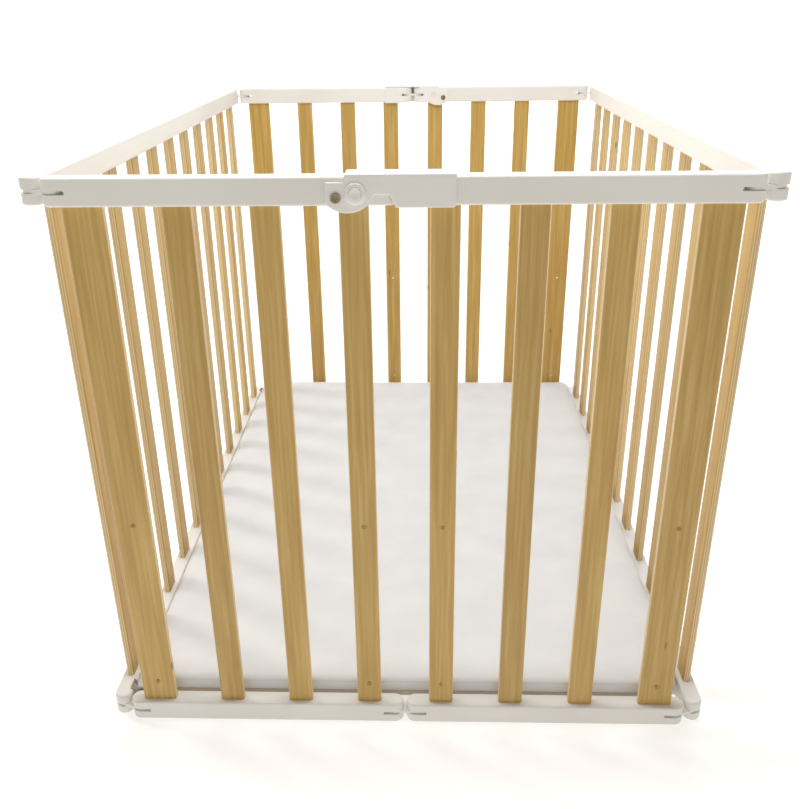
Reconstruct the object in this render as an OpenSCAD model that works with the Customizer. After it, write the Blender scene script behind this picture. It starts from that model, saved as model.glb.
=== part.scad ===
// Folding wooden playpen. Two whole side panels are joined by a front and a back panel, and each of
// those is split at its middle into two halves. Flat link plates in slots join the rails at the four
// corners and at the two middle joints, a pivoting cover latches each middle joint, and a padded
// floor swings up beside the left panel. X runs across the width, Y from the front (-) to the back
// (+) and Z up. The origin is on the ground in the middle.

/* [Overall] */
// Width over the side panels
pen_w = 750; // [620:1:900]
// Depth over the front and back panels
pen_d = 1000; // [830:1:1200]
// Height
pen_h = 686; // [570:1:825]

/* [Rails] */
// Rail thickness
rail_t = 22; // [20:0.5:23]
// Rail height
rail_h = 28; // [26:0.5:34]
// Rounding of the rails' long edges
rail_round = 2.5; // [1:0.5:4]

/* [Slats] */
// Width of a slat
slat_w = 30; // [24:0.5:36]
// Width of the slat at the outer end of each half
end_slat_w = 42; // [34:0.5:50]
// Slat thickness
slat_t = 9; // [7:0.5:11]
// Rounding of the slats' edges
slat_round = 3; // [1:0.25:3.4]
// Slats in a side panel
side_slats = 11; // [8:1:13]
// Slats of the ordinary width in each half of the front and back
half_slats = 3; // [2:1:4]
// From a side rail's pin to the edge of its first slat
side_margin = 28; // [16:1:40]
// From a middle joint's pin to the edge of the nearest slat
middle_margin = 17; // [16:0.5:24]
// From a half's corner pin to the edge of its end slat
corner_margin = 5.5; // [4:0.5:10]
// Depth of a slat's tenon in the rail
tenon_depth = 10; // [6:1:14]
// Shoulder at each edge of a tenon
tenon_shoulder = 3; // [2:0.5:5]
// Shoulder at each face of a tenon
tenon_cheek = 1; // [0.5:0.25:2]
// Height of the lower row of floor screw holes
low_hole_z = 57; // [52:1:90]
// Height of the upper row of floor screw holes
high_hole_z = 289; // [200:1:340]
// Diameter of the floor screw holes
screw_hole_d = 4; // [3:0.5:5]
// Diameter of their countersinks
screw_sink_d = 7; // [5.5:0.5:8]

/* [Link plates] */
// Gap between the ends of two rails that a link plate joins
end_gap = 4; // [3.5:0.5:8]
// How far the side panels' pins lie inside the front and back panels' pins
corner_set = 8; // [4:0.5:12]
// Width of a link plate
plate_w = 17; // [14:0.5:19]
// Thickness of a link plate
plate_t = 3.4; // [2.5:0.1:4]
// Gap above and below a plate in its slot
slot_gap = 0.3; // [0.2:0.05:0.5]
// Depth of a slot past the end of its plate
slot_spare = 5.5; // [3:0.5:8]
// Pin diameter
pin_d = 5; // [4:0.5:6]
// Solid wood left above a pin
pin_cap = 6; // [4:0.5:8]

/* [Latch] */
// From the pivot bolt's sleeve to the nearest tenon
bolt_spare = 1.2; // [0.8:0.1:4]
// From the underside of the rail up to the pivot bolt
bolt_rise = 8.7; // [7:0.1:11]
// Outer diameter of the sleeve nut that the latch turns on
sleeve_d = 5.6; // [5:0.1:6]
// Diameter of the bolt's shank
bolt_d = 3.8; // [3:0.1:4]
// Diameter of the bolt's head
bolt_head_d = 10; // [8:0.5:11]
// Height of the bolt's head
bolt_head_h = 1.9; // [1.5:0.1:3]
// Diameter of the sleeve nut's head
nut_head_d = 9; // [7:0.5:10]
// Height of the sleeve nut's head
nut_head_h = 1.5; // [1:0.1:2]
// Thickness of the outer wall of the latch
outer_wall = 4; // [3:0.1:5]
// Thickness of the inner wall and of the keeper
inner_wall = 1.5; // [1.2:0.1:1.6]
// Thickness of the top of the latch
web_t = 2.8; // [2:0.1:4]
// Gap between the latch and the rails
latch_gap = 0.25; // [0.2:0.05:0.3]
// From the middle joint to the far end of the cover
cover_end = 55; // [48:0.5:60]
// From the pivot bolt to the near end of the tab
tab_reach = 10; // [8:0.5:12]
// From the top of the rail down to the top of the tab
tab_drop = 4.7; // [3:0.1:6]
// From the pivot bolt to the near end of the cover's top
web_start = 9; // [8.5:0.5:14]
// Radius of the round underside of the latch
lobe_r = 28.4; // [26:0.1:30]
// Height of the notch below the cover's outer wall
notch_h = 12.4; // [8:0.1:14]
// Overhang of the cover below the rail
cover_lip = 1.2; // [0.5:0.1:2]
// From the pivot bolt to the push button
button_x = 19; // [18:0.5:22]
// From the top of the rail down to the push button
button_drop = 15; // [13:0.5:16]
// Diameter of the ring around the button
boss_d = 20; // [17:0.5:22]
// Height of the ring around the button
boss_h = 2.5; // [2:0.1:3]
// Button diameter
button_d = 11.6; // [9:0.1:12]
// How far the button stands out of its ring
button_out = 2.8; // [2.6:0.1:3.5]
// Button travel
button_travel = 2.5; // [1.5:0.1:2.5]

/* [Floor] */
// Board thickness
board_t = 8; // [6:0.5:9]
// Thickness of the padding
pad_t = 20; // [14:0.5:20]
// Gap between the floor and the rails around it
floor_gap = 4; // [3.5:0.5:6]
// Rounding of the floor's corners
floor_corner = 25; // [24:1:40]
// Gap between the upright padding and the side rail
swing_gap = 2; // [1:0.25:4]
// Diameter of the floor's pivot pins
floor_pin_d = 5; // [4:0.5:5.5]
// Width of the ledge below the floor's right edge
ledge_w = 18; // [12:1:24]
// Thickness of the floor's pivot plates
arm_t = 2; // [1.5:0.1:2.4]

/* [Hidden] */

wood_white = "#ECE9E2";
ply = "#CDA465";
plastic_white = "#F1F0EC";
steel = "#9A9890";
quilt = "#F3F1EE";

$fn = 48;
fit_gap = 0.1;      // radial or facewise gap of a glued or running fit
pivot_gap = 0.08;   // radial gap of a plate or a latch on its pin
open_gap = 0.3;     // radial gap of the one pivot where the loop of panels is left open
seat_gap = 0.2;     // gap between the floor and what it rests on
through = 1;        // how far a cut runs past the face that it opens
fold_angle = 86;    // turn of each half about its middle pin
fold_gap = 1.4;     // gap that is left to the parts that fold past each other

side_x = pen_w / 2 - rail_t / 2;                        // middle of a side rail
panel_y = pen_d / 2 - rail_t / 2;                       // middle of a front or back rail
side_pin_y = panel_y - corner_set;
pin_gap = rail_t + end_gap;
corner_dx = sqrt(pin_gap * pin_gap - corner_set * corner_set);
corner_pin_x = side_x - corner_dx;
middle_pin_x = pin_gap / 2;
half_l = corner_pin_x - middle_pin_x;                   // pin to pin
side_l = 2 * side_pin_y;                                // pin to pin
top_z = pen_h - rail_h;                                 // underside of the top rails
slat_l = top_z - rail_h;

half_gap = (half_l - middle_margin - corner_margin - half_slats * slat_w - end_slat_w) / half_slats;
half_xs = [for (i = [0 : half_slats - 1])
    middle_pin_x + middle_margin + slat_w / 2 + i * (slat_w + half_gap)];
end_x = corner_pin_x - corner_margin - end_slat_w / 2;
side_pitch = (side_l - 2 * side_margin - slat_w) / (side_slats - 1);
side_ys = [for (i = [0 : side_slats - 1]) side_margin + slat_w / 2 - side_pin_y + i * side_pitch];

plate_hole_r = pin_d / 2 + pivot_gap;
pin_l = rail_h - pin_cap;
pin_inset = 1;                                          // from the rail's underside to its pins
slot_h = plate_t + 2 * slot_gap;
slot_reach = plate_w / 2 + slot_spare;

wall_y = rail_t / 2 + latch_gap;                        // inner face of a latch wall
web_z = pen_h + latch_gap;
bolt_x = middle_pin_x + middle_margin + slat_w - tenon_shoulder + bolt_spare + sleeve_d / 2;
bolt_z = top_z + bolt_rise;
lobe_dx = 11;                                           // lobe's centre, from the bolt
lobe_drop = 6;                                          // lobe's centre, below the rail's top
band_l = bolt_x - tab_reach + through;
notch_x = 8.7;                                          // right end of the notch, from the joint
notch_slope = 5.5;
inner_end = middle_pin_x;                               // end of the inner wall, from the joint
slit_end = middle_pin_x + fold_gap / 2                  // end of the inner wall's slit for the plate
    + (plate_w / 2 - rail_t / 2 * cos(fold_angle)) / sin(fold_angle);
latch_corner = 4;
cross_span = 0.55;                                      // of a screw head's diameter
cross_width = 0.13;                                     // of a screw head's diameter
bolt_recess = 0.6;                                      // of the bolt head's height
dish_depth = 0.6;                                       // hollow of the button's cap
dish_r = 17.4;
button_floor = 1;                                       // wall left behind the button
spring_min = 0.4;                                       // length of the spring pressed flat
spring_l = button_travel + spring_min;
button_l = outer_wall + boss_h - button_floor + button_out - spring_l;

floor_x = side_x - rail_t / 2 - floor_gap;              // half the floor's width
floor_y = panel_y - rail_t / 2 - floor_gap;             // half the floor's depth
board_z = rail_h - board_t;
hinge_inset = pad_t + board_t / 2 + swing_gap - floor_gap;
hinge_x = hinge_inset - floor_x;
hinge_z = board_z + board_t / 2;
pad_edge = hinge_inset - swing_gap - sqrt(2 * floor_gap * swing_gap) + seat_gap;
side_face = side_x - rail_t / 2;                        // inner face of a side rail
arm_y = floor_y + (floor_gap - arm_t) / 2;
arm_h = 12;                                             // height of a pivot plate
arm_foot = 14;
arm_screw_d = 3;
arm_head_h = 1.2;
pocket_d = arm_t + arm_head_h + 2 * seat_gap;
foot_x = -side_face - pocket_d;
ledge_screw_d = 4;
ledge_head_d = 7;
ledge_head_h = 2;
ledge_z = 2;                                            // underside of the ledge
ledge_l = 2 * (floor_y - floor_corner);

module rounded(w, h, r) {
    union() {
        square([w - 2 * r, h], center = true);
        square([w, h - 2 * r], center = true);
        for (x = [-1, 1], y = [-1, 1])
            translate([x * (w / 2 - r), y * (h / 2 - r)]) circle(r);
    }
}

module quadrant(side, end) {
    mirror([side < 0 ? 1 : 0, 0, 0]) mirror([0, end > 0 ? 1 : 0, 0]) children();
}

// A rail from pin to pin along +X with half-round ends, its underside at z = 0
module rail_blank(l) {
    translate([0, 0, rail_h / 2]) {
        rotate([90, 0, 90]) linear_extrude(l) rounded(rail_t, rail_h, rail_round);
        for (end = [0, 1])
            translate([end * l, 0, 0]) rotate([0, 0, 90 - 180 * end])
                rotate_extrude(angle = 180) intersection() {
                    rounded(rail_t, rail_h, rail_round);
                    translate([0, -rail_h / 2]) square([rail_t / 2, rail_h]);
                }
    }
}

module rail_cuts(l) {
    for (end = [0, 1]) translate([end * l, 0, 0]) mirror([end, 0, 0]) {
        translate([-rail_t / 2 - through, -rail_t / 2 - through, (rail_h - slot_h) / 2])
            cube([rail_t / 2 + through + slot_reach, rail_t + 2 * through, slot_h]);
        translate([0, 0, -through]) cylinder(d = pin_d, h = pin_l + through);
    }
}

// Mortises along +X for slats of one width, cut into the rail's face that meets them
module mortises(xs, w, top) {
    z = top ? -through : rail_h - tenon_depth - fit_gap;
    for (x = xs)
        translate([x - w / 2 + tenon_shoulder - fit_gap, tenon_cheek - slat_t / 2 - fit_gap, z])
            cube([w - 2 * (tenon_shoulder - fit_gap), slat_t - 2 * (tenon_cheek - fit_gap),
                  tenon_depth + fit_gap + through]);
}

// Upright slat centred on the origin, standing on the lower rail's top face
module slat(w, holes = false) {
    difference() {
        union() {
            translate([0, 0, rail_h]) linear_extrude(slat_l) rounded(w, slat_t, slat_round);
            translate([tenon_shoulder - w / 2, tenon_cheek - slat_t / 2, rail_h - tenon_depth])
                cube([w - 2 * tenon_shoulder, slat_t - 2 * tenon_cheek, slat_l + 2 * tenon_depth]);
        }
        if (holes) for (z = [low_hole_z, high_hole_z]) translate([0, 0, z]) rotate([90, 0, 0]) {
            cylinder(d = screw_hole_d, h = slat_t + 2 * through, center = true);
            translate([0, 0, slat_t / 2 - (screw_sink_d - screw_hole_d) / 2])
                cylinder(d1 = screw_hole_d, d2 = screw_sink_d, h = (screw_sink_d - screw_hole_d) / 2);
        }
    }
}

// A vertical pin in a rail whose underside is at z
module pin(z) {
    translate([0, 0, z + pin_inset]) cylinder(d = pin_d, h = pin_l - pin_inset);
}

// Half of the front panel, as it stands at the right: moved to any of the four halves
module half_rail(top, bolted = false) {
    difference() {
        translate([middle_pin_x, -panel_y, top ? top_z : 0]) difference() {
            rail_blank(half_l);
            rail_cuts(half_l);
            mortises([for (x = half_xs) x - middle_pin_x], slat_w, top);
            mortises([end_x - middle_pin_x], end_slat_w, top);
        }
        if (bolted) translate([bolt_x, -panel_y, bolt_z]) rotate([90, 0, 0])
            cylinder(d = sleeve_d + 2 * fit_gap, h = rail_t + 2 * through, center = true);
    }
}

module half_slat_row() {
    for (i = [0 : half_slats - 1]) translate([half_xs[i], -panel_y, 0]) slat(slat_w, i == 0);
}

module half_end_slat() translate([end_x, -panel_y, 0]) slat(end_slat_w, true);

module half_pins() {
    for (z = [0, top_z], x = [middle_pin_x, corner_pin_x]) translate([x, -panel_y, 0]) pin(z);
}

// The right side panel: mirrored for the left
module side_rail(top) {
    translate([side_x, -side_pin_y, top ? top_z : 0]) rotate([0, 0, 90]) difference() {
        rail_blank(side_l);
        rail_cuts(side_l);
        mortises([for (y = side_ys) y + side_pin_y], slat_w, top);
    }
}

module side_slat_row() {
    for (y = side_ys) translate([side_x, y, 0]) rotate([0, 0, 90]) slat(slat_w);
}

module side_pins() {
    for (z = [0, top_z], y = [-side_pin_y, side_pin_y]) translate([side_x, y, 0]) pin(z);
}

// A link plate from the origin to (pin_gap, 0), its second hole opened by extra
module plate(extra = 0) {
    linear_extrude(plate_t) difference() {
        union() {
            translate([0, -plate_w / 2]) square([pin_gap, plate_w]);
            for (x = [0, pin_gap]) translate([x, 0]) circle(plate_w / 2);
        }
        circle(plate_hole_r);
        translate([pin_gap, 0]) circle(plate_hole_r + extra);
    }
}

module middle_plate(top) {
    translate([-middle_pin_x, -panel_y, (top ? top_z : 0) + (rail_h - plate_t) / 2]) plate();
}

// The front right corner's plate
module corner_plate(top, extra = 0) {
    translate([corner_pin_x, -panel_y, (top ? top_z : 0) + (rail_h - plate_t) / 2])
        rotate([0, 0, asin(corner_set / pin_gap)]) plate(extra);
}

// Outline of the latch in X and Z: x from the middle joint, z from the rail's top
module latch_outline(notched) {
    bottom = -rail_h - cover_lip;
    near_bottom = bottom + (notched ? notch_h : latch_corner);
    union() {
        intersection() {
            translate([lobe_dx - bolt_x, -lobe_drop]) circle(lobe_r);
            translate([-bolt_x - tab_reach, -rail_h * 2])
                square([band_l, rail_h * 2 - tab_drop]);
        }
        translate([-bolt_x - tab_reach, -rail_h + latch_corner])
            square([tab_reach + web_start, rail_h - tab_drop - latch_corner]);
        translate([web_start - bolt_x - through, near_bottom])
            square([bolt_x - web_start + through, latch_gap - near_bottom]);
        if (notched) {
            polygon([[-notch_x, 0], [-notch_x, bottom + notch_h], [notch_slope - notch_x, bottom],
                     [cover_end - latch_corner, bottom], [cover_end - latch_corner, 0]]);
            translate([0, bottom + latch_corner])
                square([cover_end, latch_gap - bottom - latch_corner]);
            translate([cover_end - latch_corner, bottom + latch_corner]) circle(latch_corner);
        } else {
            translate([lobe_dx - bolt_x, bottom]) square([bolt_x - lobe_dx, latch_corner + through]);
        }
    }
}

module upright(t) rotate([90, 0, 0]) linear_extrude(t) children();

// Slit through an inner wall, from the joint outwards, for the edge of the link plate
module plate_slit() {
    translate([0, -panel_y + rail_t / 2 - through, top_z + (rail_h - slot_h) / 2])
        cube([slit_end, latch_gap + inner_wall + 2 * through, slot_h]);
}

// Cover of the front latch, which turns on the left half's top rail
module latch_cover() {
    difference() {
        union() {
            translate([0, -panel_y - wall_y, pen_h]) upright(outer_wall) latch_outline(true);
            translate([-bolt_x + web_start, -panel_y - wall_y - outer_wall, web_z])
                cube([bolt_x - web_start + cover_end, outer_wall + 2 * wall_y + inner_wall, web_t]);
            translate([0, -panel_y + wall_y + inner_wall, pen_h]) upright(inner_wall) intersection() {
                latch_outline(false);
                translate([-bolt_x - tab_reach, -2 * rail_h])
                    square([bolt_x + tab_reach - inner_end, 2 * rail_h + latch_gap]);
            }
            translate([button_x - bolt_x, -panel_y - wall_y, pen_h - button_drop])
                rotate([90, 0, 0]) cylinder(d = boss_d, h = outer_wall + boss_h);
        }
        translate([-bolt_x, -panel_y, bolt_z]) rotate([90, 0, 0])
            cylinder(d = sleeve_d + 2 * pivot_gap, h = 2 * rail_t, center = true);
        translate([button_x - bolt_x, -panel_y - wall_y - button_floor, pen_h - button_drop])
            rotate([90, 0, 0]) cylinder(d = button_d + 2 * pivot_gap, h = outer_wall + boss_h);
        translate([button_x - bolt_x, -panel_y + wall_y - through, pen_h - button_drop])
            rotate([-90, 0, 0]) cylinder(d = boss_d / 2, h = inner_wall + 2 * through);
        mirror([1, 0, 0]) plate_slit();
    }
}

// Cross for a screwdriver, cut as deep each way from the origin
module cross_recess(head_d, depth) {
    for (a = [0, 90]) rotate([0, 0, a])
        cube([head_d * cross_span, head_d * cross_width, 2 * depth], center = true);
}

module latch_bolt() {
    translate([-bolt_x, -panel_y - wall_y - outer_wall - fit_gap, bolt_z]) rotate([90, 0, 0]) {
        difference() {
            cylinder(d = bolt_head_d, h = bolt_head_h);
            translate([0, 0, bolt_head_h]) cross_recess(bolt_head_d, bolt_head_h * bolt_recess);
        }
        translate([0, 0, -rail_t - outer_wall]) cylinder(d = bolt_d, h = rail_t + outer_wall);
    }
}

module latch_sleeve_nut() {
    sleeve_l = 2 * wall_y + outer_wall + inner_wall + fit_gap;
    translate([-bolt_x, -panel_y + wall_y + inner_wall + fit_gap, bolt_z]) rotate([90, 0, 0])
        difference() {
            union() {
                translate([0, 0, -nut_head_h]) cylinder(d = nut_head_d, h = nut_head_h);
                cylinder(d = sleeve_d, h = sleeve_l);
            }
            cylinder(d = bolt_d + 2 * fit_gap, h = sleeve_l + through);
            translate([0, 0, -nut_head_h]) cross_recess(nut_head_d, nut_head_h / 2);
        }
}

module latch_button() {
    out_y = -panel_y - wall_y - outer_wall - boss_h - button_out;
    translate([button_x - bolt_x, out_y, pen_h - button_drop]) rotate([-90, 0, 0]) difference() {
        cylinder(d = button_d, h = button_l);
        translate([0, 0, dish_depth - dish_r]) sphere(r = dish_r);
    }
}

// Points of a round wire's coil about +Z
wire_r = 0.3;
coil_r = 4;
coil_turns = 3;
coil_steps = 14;
wire_sides = 6;
coil_rise = spring_l - 2 * wire_r - 0.1;
function coil_point(i, j) = let (a = 360 * i / coil_steps, b = 360 * j / wire_sides,
                                 r = coil_r + wire_r * cos(b))
    [r * cos(a), r * sin(a), coil_rise * i / (coil_steps * coil_turns) + wire_r * sin(b)];

module latch_spring() {
    rings = coil_steps * coil_turns;
    points = [for (i = [0 : rings], j = [0 : wire_sides - 1]) coil_point(i, j)];
    skin = [for (i = [0 : rings - 1], j = [0 : wire_sides - 1]) let (k = (j + 1) % wire_sides)
        [i * wire_sides + j, (i + 1) * wire_sides + j, (i + 1) * wire_sides + k, i * wire_sides + k]];
    ends = [[for (j = [0 : wire_sides - 1]) j],
            [for (j = [wire_sides - 1 : -1 : 0]) rings * wire_sides + j]];
    translate([button_x - bolt_x, -panel_y - wall_y - button_floor, pen_h - button_drop])
        rotate([90, 0, 0]) translate([0, 0, wire_r + 0.05]) polyhedron(points, concat(skin, ends));
}

// Plate on the other half's inner face, in line with the latch's inner wall
module latch_keeper() {
    h = rail_h + cover_lip;
    difference() {
        translate([inner_end, -panel_y + wall_y - latch_gap, pen_h - h])
            cube([cover_end - inner_end, inner_wall + latch_gap, h]);
        plate_slit();
    }
}

module floor_plan() {
    rounded(2 * floor_x, 2 * floor_y, floor_corner);
}

module floor_board() color(ply) {
    difference() {
        translate([0, 0, board_z]) linear_extrude(board_t) floor_plan();
        for (end = [-1, 1]) translate([hinge_x, end * floor_y, hinge_z]) rotate([90, 0, 0])
            cylinder(d = floor_pin_d, h = 2 * floor_corner, center = true);
    }
}

module floor_padding() color(quilt) {
    top = rail_h + pad_t;
    intersection() {
        translate([0, 0, rail_h]) linear_extrude(pad_t) floor_plan();
        translate([0, floor_y + through, 0]) upright(2 * (floor_y + through)) union() {
            translate([pad_edge - floor_x, rail_h]) square([2 * floor_x - pad_edge, pad_t]);
            translate([-floor_x, rail_h]) square([2 * pad_edge, pad_t - pad_edge]);
            translate([pad_edge - floor_x, top - pad_edge]) circle(pad_edge);
        }
    }
}

// Plates on the left side rail that carry the floor's pivot pins, in the gaps before and behind it.
// Their feet lie in pockets of the rail.
module floor_pivot_plates() color(steel) {
    for (end = [-1, 1]) translate([foot_x, end * arm_y, hinge_z]) {
        rotate([90, 0, 0]) translate([0, 0, end < 0 ? 0 : -arm_t]) linear_extrude(arm_t) difference() {
            union() {
                translate([0, -arm_h / 2]) square([hinge_x - foot_x, arm_h]);
                translate([hinge_x - foot_x, 0]) circle(arm_h / 2);
            }
            translate([hinge_x - foot_x, 0]) circle(floor_pin_d / 2 + pivot_gap);
        }
        translate([0, end < 0 ? 0 : -arm_foot, -arm_h / 2]) difference() {
            cube([arm_t, arm_foot, arm_h]);
            translate([-through, arm_foot / 2, arm_h / 2]) rotate([0, 90, 0])
                cylinder(d = arm_screw_d, h = arm_t + 2 * through);
        }
    }
}

// Pockets in the left side's lower rail
module foot_pockets() {
    for (end = [-1, 1])
        translate([foot_x, end < 0 ? -arm_y - arm_t - fit_gap : arm_y - arm_foot - fit_gap,
                   hinge_z - arm_h / 2 - fit_gap])
            cube([pocket_d + through, arm_foot + arm_t + 2 * fit_gap, arm_h + 2 * fit_gap + through]);
}

module floor_pivot_plate_screws() color(steel) {
    for (end = [-1, 1]) translate([foot_x, end * (arm_y - arm_foot / 2), hinge_z]) rotate([0, 90, 0]) {
        translate([0, 0, arm_t]) cylinder(d = 2 * arm_screw_d, h = arm_head_h);
        cylinder(d = arm_screw_d, h = arm_t);
    }
}

module floor_pivot_pins() color(steel) {
    for (end = [-1, 1]) translate([hinge_x, end * (arm_y + arm_t / 2), hinge_z]) rotate([90, 0, 0])
        translate([0, 0, end < 0 ? -floor_corner : -arm_t / 2])
            cylinder(d = floor_pin_d, h = floor_corner + arm_t / 2);
}

module floor_ledge() color(wood_white) {
    difference() {
        translate([side_face - ledge_w, -ledge_l / 2, ledge_z])
            cube([ledge_w, ledge_l, board_z - ledge_z - seat_gap]);
        for (i = [-1 : 1]) translate([side_face - ledge_w - through, i * ledge_l / 3, board_z / 2])
            rotate([0, 90, 0]) cylinder(d = ledge_screw_d, h = ledge_w + 2 * through);
    }
}

module floor_ledge_screws() color(steel) {
    for (i = [-1 : 1]) translate([side_face - ledge_w, i * ledge_l / 3, board_z / 2])
        rotate([0, 90, 0]) {
            translate([0, 0, -ledge_head_h]) cylinder(d = ledge_head_d, h = ledge_head_h);
            cylinder(d = ledge_screw_d - 2 * fit_gap, h = ledge_w);
        }
}

module side_left_top_rail() color(wood_white) mirror([1, 0, 0]) side_rail(true);
module side_left_bottom_rail() color(wood_white) difference() {
    mirror([1, 0, 0]) side_rail(false);
    foot_pockets();
}
module side_left_slats() color(ply) mirror([1, 0, 0]) side_slat_row();
module side_left_pins() color(steel) mirror([1, 0, 0]) side_pins();

module side_right_top_rail() color(wood_white) side_rail(true);
module side_right_bottom_rail() color(wood_white) side_rail(false);
module side_right_slats() color(ply) side_slat_row();
module side_right_pins() color(steel) side_pins();

module front_left_top_rail() color(wood_white) quadrant(-1, -1) half_rail(true, true);
module front_left_bottom_rail() color(wood_white) quadrant(-1, -1) half_rail(false);
module front_left_slats() color(ply) quadrant(-1, -1) half_slat_row();
module front_left_end_slat() color(ply) quadrant(-1, -1) half_end_slat();
module front_left_pins() color(steel) quadrant(-1, -1) half_pins();

module front_right_top_rail() color(wood_white) quadrant(1, -1) half_rail(true);
module front_right_bottom_rail() color(wood_white) quadrant(1, -1) half_rail(false);
module front_right_slats() color(ply) quadrant(1, -1) half_slat_row();
module front_right_end_slat() color(ply) quadrant(1, -1) half_end_slat();
module front_right_pins() color(steel) quadrant(1, -1) half_pins();

module back_left_top_rail() color(wood_white) quadrant(-1, 1) half_rail(true);
module back_left_bottom_rail() color(wood_white) quadrant(-1, 1) half_rail(false);
module back_left_slats() color(ply) quadrant(-1, 1) half_slat_row();
module back_left_end_slat() color(ply) quadrant(-1, 1) half_end_slat();
module back_left_pins() color(steel) quadrant(-1, 1) half_pins();

module back_right_top_rail() color(wood_white) quadrant(1, 1) half_rail(true, true);
module back_right_bottom_rail() color(wood_white) quadrant(1, 1) half_rail(false);
module back_right_slats() color(ply) quadrant(1, 1) half_slat_row();
module back_right_end_slat() color(ply) quadrant(1, 1) half_end_slat();
module back_right_pins() color(steel) quadrant(1, 1) half_pins();

module front_left_top_plate() color(plastic_white) quadrant(-1, -1) corner_plate(true);
module front_left_bottom_plate() color(plastic_white) quadrant(-1, -1) corner_plate(false);
module front_middle_top_plate() color(plastic_white) middle_plate(true);
module front_middle_bottom_plate() color(plastic_white) middle_plate(false);
module front_right_top_plate() color(plastic_white) quadrant(1, -1) corner_plate(true);
module front_right_bottom_plate() color(plastic_white) quadrant(1, -1) corner_plate(false);
module back_left_top_plate() color(plastic_white) quadrant(-1, 1) corner_plate(true);
module back_left_bottom_plate() color(plastic_white) quadrant(-1, 1) corner_plate(false);
module back_middle_top_plate() color(plastic_white) rotate([0, 0, 180]) middle_plate(true);
module back_middle_bottom_plate() color(plastic_white) rotate([0, 0, 180]) middle_plate(false);
module back_right_top_plate() color(plastic_white) quadrant(1, 1) corner_plate(true, open_gap);
module back_right_bottom_plate() color(plastic_white) quadrant(1, 1) corner_plate(false, open_gap);

module front_latch_cover() color(plastic_white) latch_cover();
module front_latch_bolt() color(steel) latch_bolt();
module front_latch_sleeve_nut() color(steel) latch_sleeve_nut();
module front_latch_button() color(plastic_white) latch_button();
module front_latch_spring() color(steel) latch_spring();
module front_latch_keeper() color(plastic_white) latch_keeper();

module back_latch_cover() color(plastic_white) rotate([0, 0, 180]) latch_cover();
module back_latch_bolt() color(steel) rotate([0, 0, 180]) latch_bolt();
module back_latch_sleeve_nut() color(steel) rotate([0, 0, 180]) latch_sleeve_nut();
module back_latch_button() color(plastic_white) rotate([0, 0, 180]) latch_button();
module back_latch_spring() color(steel) rotate([0, 0, 180]) latch_spring();
module back_latch_keeper() color(plastic_white) rotate([0, 0, 180]) latch_keeper();

side_left_top_rail();
side_left_bottom_rail();
side_left_slats();
side_left_pins();
side_right_top_rail();
side_right_bottom_rail();
side_right_slats();
side_right_pins();
front_left_top_rail();
front_left_bottom_rail();
front_left_slats();
front_left_end_slat();
front_left_pins();
front_right_top_rail();
front_right_bottom_rail();
front_right_slats();
front_right_end_slat();
front_right_pins();
back_left_top_rail();
back_left_bottom_rail();
back_left_slats();
back_left_end_slat();
back_left_pins();
back_right_top_rail();
back_right_bottom_rail();
back_right_slats();
back_right_end_slat();
back_right_pins();
front_left_top_plate();
front_left_bottom_plate();
front_middle_top_plate();
front_middle_bottom_plate();
front_right_top_plate();
front_right_bottom_plate();
back_left_top_plate();
back_left_bottom_plate();
back_middle_top_plate();
back_middle_bottom_plate();
back_right_top_plate();
back_right_bottom_plate();
front_latch_cover();
front_latch_bolt();
front_latch_sleeve_nut();
front_latch_button();
front_latch_spring();
front_latch_keeper();
back_latch_cover();
back_latch_bolt();
back_latch_sleeve_nut();
back_latch_button();
back_latch_spring();
back_latch_keeper();
floor_board();
floor_padding();
floor_pivot_plates();
floor_pivot_plate_screws();
floor_pivot_pins();
floor_ledge();
floor_ledge_screws();
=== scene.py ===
import math

import bmesh
import bpy
import numpy as np
from mathutils import Matrix, Vector, noise


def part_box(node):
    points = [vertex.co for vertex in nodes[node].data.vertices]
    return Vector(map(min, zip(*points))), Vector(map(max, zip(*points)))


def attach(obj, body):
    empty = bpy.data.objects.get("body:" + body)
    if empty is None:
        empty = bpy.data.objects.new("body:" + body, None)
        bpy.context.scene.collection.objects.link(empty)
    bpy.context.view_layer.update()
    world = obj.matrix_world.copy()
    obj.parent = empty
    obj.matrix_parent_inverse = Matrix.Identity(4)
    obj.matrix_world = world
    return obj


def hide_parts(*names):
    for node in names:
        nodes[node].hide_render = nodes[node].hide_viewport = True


# Looks of a folding wooden playpen: white painted rails, lacquered plywood slats, moulded latches,
# and a padded floor. Sizes are in millimetres where a name says so, and in metres elsewhere.

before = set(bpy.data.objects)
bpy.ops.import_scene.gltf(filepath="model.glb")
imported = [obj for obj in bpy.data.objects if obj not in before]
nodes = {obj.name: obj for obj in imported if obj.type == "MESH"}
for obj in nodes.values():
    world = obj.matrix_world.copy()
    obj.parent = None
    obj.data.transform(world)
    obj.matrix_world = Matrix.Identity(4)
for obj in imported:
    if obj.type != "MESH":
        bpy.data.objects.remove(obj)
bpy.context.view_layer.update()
mm = 0.001
halves = {"front_left": -1, "front_right": 1, "back_left": -1, "back_right": 1}


def linearColour(hexValue):
    channels = [int(hexValue[i:i + 2], 16) / 255 for i in (1, 3, 5)]
    return tuple(c / 12.92 if c <= 0.04045 else ((c + 0.055) / 1.055) ** 2.4 for c in channels) + (1.0,)


def addNode(tree, kind, settings=None, inputs=None):
    node = tree.nodes.new(kind)
    for name, value in (settings or {}).items():
        setattr(node, name, value)
    for socket, value in (inputs or {}).items():
        if isinstance(value, bpy.types.NodeSocket):
            tree.links.new(value, node.inputs[socket])
        else:
            node.inputs[socket].default_value = value
    return node


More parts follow.
